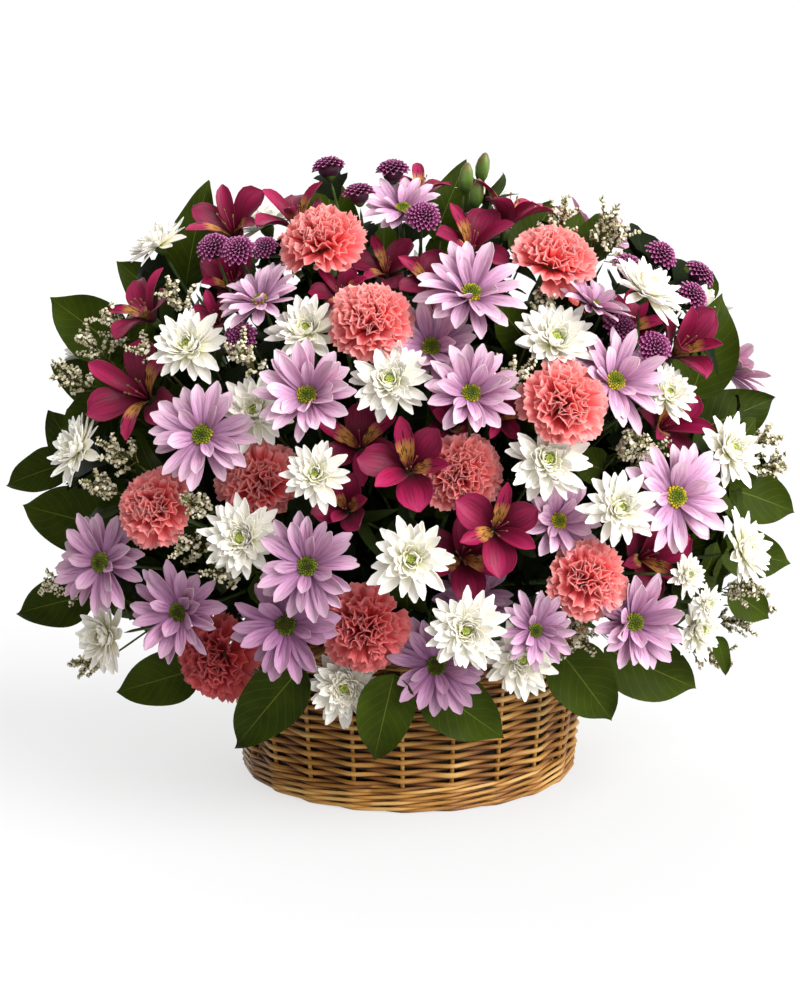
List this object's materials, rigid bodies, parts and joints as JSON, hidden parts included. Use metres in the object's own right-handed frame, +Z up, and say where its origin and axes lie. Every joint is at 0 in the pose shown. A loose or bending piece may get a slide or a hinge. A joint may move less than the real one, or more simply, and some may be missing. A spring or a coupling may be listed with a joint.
{
  "type": "flower basket arrangement",
  "caption": "Round woven willow basket filled with a mound of mixed cut flowers and leaves, on a flat foot, for standing on a table.",
  "frame": {"origin": "centre of the basket's flat foot, on the surface that it stands on", "axes": "+X to the right across the arrangement's widest side, +Y to its back, +Z up; the front faces -Y"},
  "size_m": [0.6186, 0.3663, 0.4836],
  "materials": {
    "carnation_petal": "matte, ruffled coral petals",
    "lilac_petal": "matte, grooved lilac petals with green-yellow eyes",
    "white_petal": "matte, white pointed petals",
    "button_petal": "matte, tight purple petals with paler tips",
    "alstroemeria_petal": "satin, burgundy with a golden striped throat",
    "statice_floret": "papery, cream",
    "salal_leaf": "satin, dark green with pale veins",
    "willow": "peeled willow, satin, honey to brown",
    "liner_plastic": "dark green, matte",
    "floral_foam": "wet, fine-celled green foam"
  },
  "bodies": {
    "root": {"carnation_1": "carnation_petal", "carnation_2": "carnation_petal", "carnation_3": "carnation_petal", "carnation_4": "carnation_petal", "carnation_5": "carnation_petal", "carnation_6": "carnation_petal", "carnation_7": "carnation_petal", "carnation_8": "carnation_petal", "carnation_9": "carnation_petal", "carnation_10": "carnation_petal", "carnation_11": "carnation_petal", "carnation_12": "carnation_petal", "lilac_daisy_spray_1": "lilac_petal", "lilac_daisy_spray_2": "lilac_petal", "lilac_daisy_spray_3": "lilac_petal", "lilac_daisy_spray_4": "lilac_petal", "lilac_daisy_spray_5": "lilac_petal", "lilac_daisy_spray_6": "lilac_petal", "lilac_daisy_spray_7": "lilac_petal", "lilac_daisy_spray_8": "lilac_petal", "lilac_daisy_spray_9": "lilac_petal", "white_mum_spray_1": "white_petal", "white_mum_spray_2": "white_petal", "white_mum_spray_3": "white_petal", "white_mum_spray_4": "white_petal", "white_mum_spray_5": "white_petal", "white_mum_spray_6": "white_petal", "white_mum_spray_7": "white_petal", "white_mum_spray_8": "white_petal", "white_mum_spray_9": "white_petal", "button_mum_spray_1": "button_petal", "button_mum_spray_2": "button_petal", "button_mum_spray_3": "button_petal", "alstroemeria_1": "alstroemeria_petal", "alstroemeria_2": "alstroemeria_petal", "alstroemeria_3": "alstroemeria_petal", "alstroemeria_4": "alstroemeria_petal", "alstroemeria_5": "alstroemeria_petal", "alstroemeria_6": "alstroemeria_petal", "alstroemeria_7": "alstroemeria_petal", "statice_1": "statice_floret", "statice_2": "statice_floret", "statice_3": "statice_floret", "statice_4": "statice_floret", "statice_5": "statice_floret", "statice_6": "statice_floret", "salal_1": "salal_leaf", "salal_2": "salal_leaf", "salal_3": "salal_leaf", "salal_4": "salal_leaf", "salal_5": "salal_leaf", "salal_6": "salal_leaf", "salal_7": "salal_leaf", "salal_8": "salal_leaf", "salal_9": "salal_leaf", "basket_base": "willow", "basket_wall": "willow", "basket_border": "willow", "liner_tray": "liner_plastic", "floral_foam": "floral_foam"}
  },
  "joints": []
}
